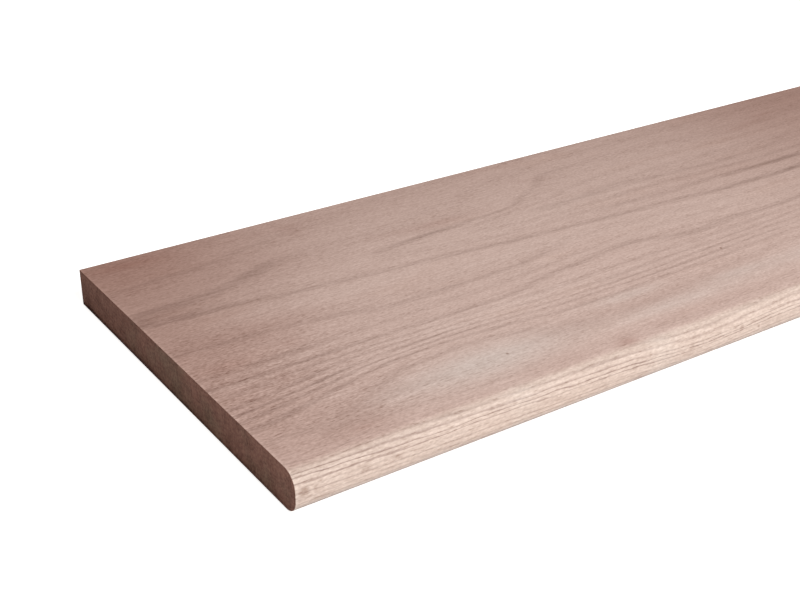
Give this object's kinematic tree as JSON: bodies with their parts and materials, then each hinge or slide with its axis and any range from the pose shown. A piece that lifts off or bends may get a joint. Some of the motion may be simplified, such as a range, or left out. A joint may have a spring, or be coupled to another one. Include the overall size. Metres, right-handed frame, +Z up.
{
  "type": "stair tread",
  "caption": "Unfinished oak stair tread: a flat board with a rounded bullnose front edge, a square back edge and square-sawn ends, to be stepped on.",
  "frame": {"origin": "middle of the underside", "axes": "+X along the length, -Y out of the rounded front edge, +Z up out of the walking face"},
  "size_m": [0.9144, 0.2922, 0.0262],
  "materials": {
    "red_oak": "bare plain-sawn red oak, planed and sanded, with sawn end grain"
  },
  "bodies": {
    "root": {"tread_board": "red_oak"}
  },
  "joints": []
}
